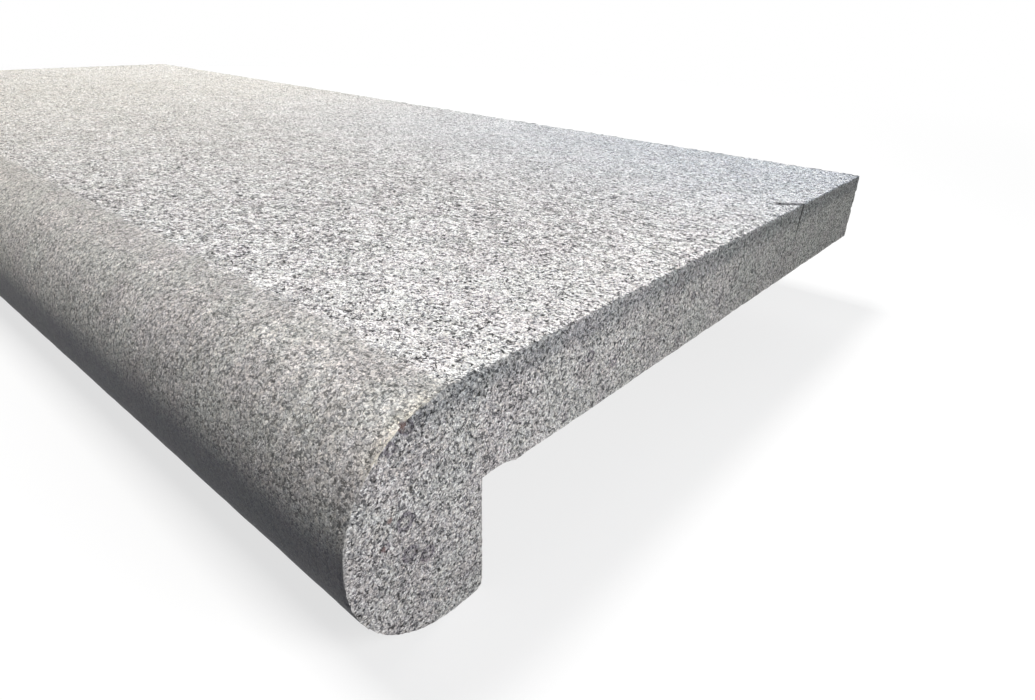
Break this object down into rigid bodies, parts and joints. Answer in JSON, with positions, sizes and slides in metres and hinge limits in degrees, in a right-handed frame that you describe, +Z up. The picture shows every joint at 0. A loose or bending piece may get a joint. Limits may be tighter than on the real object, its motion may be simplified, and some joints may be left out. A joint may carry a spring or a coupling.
{
  "type": "pool coping stone",
  "caption": "Drop-nose granite coping stone: a flat slab that lies on a pool wall, with a rounded front that turns down over the wall's edge.",
  "frame": {"origin": "under the middle of the stone, level with the foot of the drop", "axes": "+X runs along the pool edge, -Y points from the stone over the water, where the nose is, and +Z is up"},
  "size_m": [1, 0.4, 0.084],
  "materials": {
    "granite": "fine grey granite, flamed on top, honed round the nose, sawn at the ends and below"
  },
  "bodies": {
    "root": {"coping_stone": "granite"}
  },
  "joints": []
}
